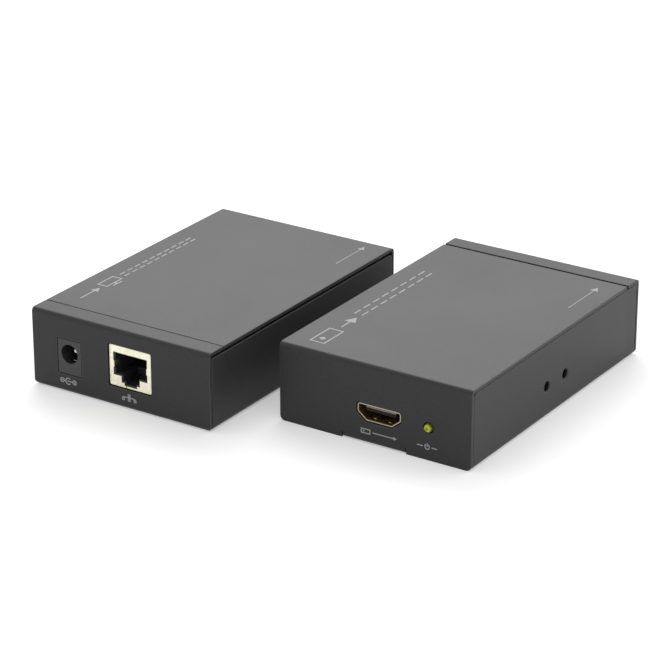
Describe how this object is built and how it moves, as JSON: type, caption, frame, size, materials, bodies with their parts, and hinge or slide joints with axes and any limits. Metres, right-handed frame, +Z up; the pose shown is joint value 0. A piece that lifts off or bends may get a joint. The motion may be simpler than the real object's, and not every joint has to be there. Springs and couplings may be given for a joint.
{
  "type": "hdmi extender",
  "caption": "Transmitter and receiver boxes of folded steel sheet that carry a picture signal over a network cable, with video, network and power sockets.",
  "frame": {"origin": "on the table, midway between the two boxes, at the centre of the pair's footprint", "axes": "+Z up; +X from the receiver to the transmitter; +Y away from the receiver's network end and the transmitter's video end"},
  "size_m": [0.1484, 0.1246, 0.026],
  "materials": {
    "case_steel": "satin powder coat, fine grain",
    "black_screw": "black oxide",
    "zinc_steel": "zinc plated",
    "board_laminate": "green solder mask",
    "gold_shell": "gold plated, bright",
    "tongue_plastic": "moulded, satin",
    "contact_gold": "gold plated",
    "tinned_shield": "tinned sheet, pale",
    "socket_plastic": "moulded, satin",
    "jack_plastic": "moulded, satin",
    "nickel_contact": "nickel plated",
    "lamp_resin": "tinted, diffusing",
    "chip_resin": "moulded",
    "crystal_can": "drawn steel can",
    "coil_ferrite": "pressed ferrite",
    "capacitor_can": "drawn aluminium can"
  },
  "bodies": {
    "root": {"receiver_base_tray": "case_steel", "receiver_top_cover": "case_steel", "receiver_cover_screw": "black_screw", "receiver_board_posts": "zinc_steel", "receiver_board_screws": "zinc_steel", "receiver_circuit_board": "board_laminate", "receiver_video_shell": "gold_shell", "receiver_video_tongue": "tongue_plastic", "receiver_video_contacts": "contact_gold", "receiver_network_shield": "tinned_shield", "receiver_network_housing": "socket_plastic", "receiver_network_pins": "contact_gold", "receiver_power_housing": "jack_plastic", "receiver_power_pin": "nickel_contact", "receiver_power_tabs": "nickel_contact", "receiver_power_lamp": "lamp_resin", "receiver_lamp_holder": "socket_plastic", "receiver_lamp_leads": "nickel_contact", "receiver_main_chip": "chip_resin", "receiver_line_transformer": "chip_resin", "receiver_clock_crystal": "crystal_can", "receiver_voltage_regulator": "chip_resin", "receiver_power_coil": "coil_ferrite", "receiver_capacitors": "capacitor_can", "transmitter_base_tray": "case_steel", "transmitter_top_cover": "case_steel", "transmitter_cover_screw": "black_screw", "transmitter_board_posts": "zinc_steel", "transmitter_board_screws": "zinc_steel", "transmitter_circuit_board": "board_laminate", "transmitter_video_shell": "gold_shell", "transmitter_video_tongue": "tongue_plastic", "transmitter_video_contacts": "contact_gold", "transmitter_network_shield": "tinned_shield", "transmitter_network_housing": "socket_plastic", "transmitter_network_pins": "contact_gold", "transmitter_power_housing": "jack_plastic", "transmitter_power_pin": "nickel_contact", "transmitter_power_tabs": "nickel_contact", "transmitter_power_lamp": "lamp_resin", "transmitter_lamp_holder": "socket_plastic", "transmitter_lamp_leads": "nickel_contact", "transmitter_main_chip": "chip_resin", "transmitter_line_transformer": "chip_resin", "transmitter_clock_crystal": "crystal_can", "transmitter_voltage_regulator": "chip_resin", "transmitter_power_coil": "coil_ferrite", "transmitter_capacitors": "capacitor_can"},
    "receiver_spring_wires_body": {"receiver_spring_wires": "contact_gold"},
    "receiver_leaf_spring_body": {"receiver_leaf_spring": "nickel_contact"},
    "transmitter_spring_wires_body": {"transmitter_spring_wires": "contact_gold"},
    "transmitter_leaf_spring_body": {"transmitter_leaf_spring": "nickel_contact"}
  },
  "joints": [
    {"name": "receiver_wires_flex", "type": "hinge", "parent": "root", "child": "receiver_spring_wires_body", "pos_m": [-0.03655, -0.0591, 0.01827], "axis": [1, 0, 0], "range_deg": [0, 10], "stiffness_Nm_per_rad": 0.3},
    {"name": "receiver_leaf_flex", "type": "hinge", "parent": "root", "child": "receiver_leaf_spring_body", "pos_m": [-0.05985, -0.0513, 0.00912], "axis": [1, 0, 0], "range_deg": [0, 5], "stiffness_Nm_per_rad": 0.3},
    {"name": "transmitter_wires_flex", "type": "hinge", "parent": "root", "child": "transmitter_spring_wires_body", "pos_m": [0.03655, 0.0591, 0.01827], "axis": [-1, 0, 0], "range_deg": [0, 10], "stiffness_Nm_per_rad": 0.3},
    {"name": "transmitter_leaf_flex", "type": "hinge", "parent": "root", "child": "transmitter_leaf_spring_body", "pos_m": [0.05985, 0.0513, 0.00912], "axis": [-1, 0, 0], "range_deg": [0, 5], "stiffness_Nm_per_rad": 0.3}
  ]
}
